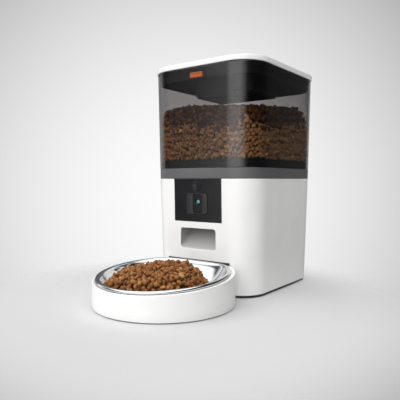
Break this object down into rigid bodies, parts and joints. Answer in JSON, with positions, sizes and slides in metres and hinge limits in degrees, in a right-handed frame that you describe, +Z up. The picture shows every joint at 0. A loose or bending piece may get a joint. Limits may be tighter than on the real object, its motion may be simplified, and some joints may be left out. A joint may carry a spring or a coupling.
{
  "type": "automatic pet feeder",
  "caption": "Automatic pet feeder with a camera panel, a smoked lidded hopper over a paddle-wheel dispenser, and a steel bowl in a round tray hooked to its front.",
  "frame": {"origin": "on the floor, under the middle of the whole feeder with its bowl tray", "axes": "+Z up, -Y towards the bowl tray (the front), +X to the feeder's left hand, which is the right side seen from the front"},
  "size_m": [0.1894, 0.3802, 0.3322],
  "materials": {
    "white_abs": "moulded ABS with a fine satin gloss",
    "grey_abs": "moulded ABS, satin",
    "black_abs": "moulded ABS, matte",
    "black_gloss": "polished acrylic and ABS",
    "smoked_plastic": "see-through smoked, polished",
    "orange_plastic": "moulded ABS, satin",
    "lens_glass": "coated glass lens",
    "circuit_board": "solder mask over glass laminate",
    "polished_steel": "mirror-polished stainless steel",
    "plain_steel": "plated or plain steel",
    "rubber": "matte",
    "silicone": "moulded silicone, matte",
    "acetal": "moulded acetal",
    "desiccant_paper": "non-woven paper bag"
  },
  "bodies": {
    "base": {"base_housing": "white_abs", "bottom_plate": "black_abs", "foot_front_left": "rubber", "foot_front_right": "rubber", "foot_rear_left": "rubber", "foot_rear_right": "rubber", "bottom_screw_front_left": "plain_steel", "bottom_screw_front_right": "plain_steel", "bottom_screw_rear_left": "plain_steel", "bottom_screw_rear_right": "plain_steel", "front_panel": "black_gloss", "camera_bezel": "black_abs", "camera_window": "black_gloss", "lens_barrel": "black_abs", "camera_lens": "lens_glass", "camera_board": "circuit_board", "panel_board": "circuit_board", "chute_liner": "white_abs", "dispenser_housing": "black_abs", "rotor_bush_left": "acetal", "rotor_bush_right": "acetal", "chute_sensor_left": "black_abs", "chute_sensor_right": "black_abs", "gear_plate": "black_abs", "gear_case": "black_abs", "idler_pin": "plain_steel", "motor": "plain_steel", "motor_screw_1": "plain_steel", "motor_screw_2": "plain_steel", "main_board": "circuit_board", "speaker": "black_abs", "dc_jack": "black_abs", "battery_box": "black_abs", "battery_contact_left": "plain_steel", "battery_contact_right": "plain_steel"},
    "rotor": {"dispensing_wheel": "silicone", "rotor_shaft": "plain_steel", "output_gear": "acetal"},
    "idler": {"idler_gear": "acetal"},
    "pinion": {"motor_pinion": "plain_steel"},
    "control_button": {"control_button": "black_gloss"},
    "battery_door": {"battery_door": "white_abs"},
    "hopper": {"hopper_tank": "smoked_plastic", "hopper_collar": "grey_abs", "hopper_funnel": "black_abs"},
    "lid_button": {"lid_button": "orange_plastic"},
    "lid": {"lid_cover": "white_abs", "lid_liner": "black_abs", "lid_seal": "rubber", "desiccant_box": "black_abs", "desiccant_pack": "desiccant_paper"},
    "desiccant_cover": {"desiccant_cover": "black_abs"},
    "tray": {"bowl_tray": "white_abs", "tray_base": "black_abs", "tray_foot_1": "rubber", "tray_foot_2": "rubber", "tray_foot_3": "rubber"},
    "bowl": {"steel_bowl": "polished_steel"}
  },
  "joints": [
    {"name": "hopper_lift", "type": "slide", "parent": "base", "child": "hopper", "axis": [0, 0, 1], "range_m": [0, 0.2]},
    {"name": "lid_lift", "type": "slide", "parent": "hopper", "child": "lid", "axis": [0, 0, 1], "range_m": [0, 0.12]},
    {"name": "desiccant_cover_slide", "type": "slide", "parent": "lid", "child": "desiccant_cover", "axis": [1, 0, 0], "range_m": [0, 0.03]},
    {"name": "lid_button_press", "type": "slide", "parent": "hopper", "child": "lid_button", "axis": [0, 1, 0], "range_m": [0, 0.0022], "stiffness_N_per_m": 600, "springref_m": -0.001},
    {"name": "control_button_press", "type": "slide", "parent": "base", "child": "control_button", "axis": [0, 0.9997, 0.0224], "range_m": [0, 0.0008], "stiffness_N_per_m": 800, "springref_m": -0.0006},
    {"name": "battery_door_pull", "type": "slide", "parent": "base", "child": "battery_door", "axis": [0, 1, 0], "range_m": [0, 0.03]},
    {"name": "tray_slide", "type": "slide", "parent": "base", "child": "tray", "axis": [0, -1, 0], "range_m": [0, 0.03]},
    {"name": "bowl_lift", "type": "slide", "parent": "tray", "child": "bowl", "axis": [0, 0, 1], "range_m": [0, 0.06]},
    {"name": "rotor_turn", "type": "hinge", "parent": "base", "child": "rotor", "pos_m": [0, 0.03085, 0.135], "axis": [1, 0, 0], "continuous": true},
    {"name": "idler_turn", "type": "hinge", "parent": "base", "child": "idler", "pos_m": [0.0385, 0.05926, 0.12999], "axis": [1, 0, 0], "continuous": true},
    {"name": "pinion_turn", "type": "hinge", "parent": "base", "child": "pinion", "pos_m": [0.0385, 0.07804, 0.13163], "axis": [1, 0, 0], "continuous": true}
  ],
  "couplings": [
    {"joint": "idler_turn", "follows": "rotor_turn", "ratio": -1.5556},
    {"joint": "pinion_turn", "follows": "rotor_turn", "ratio": 2.3333}
  ]
}
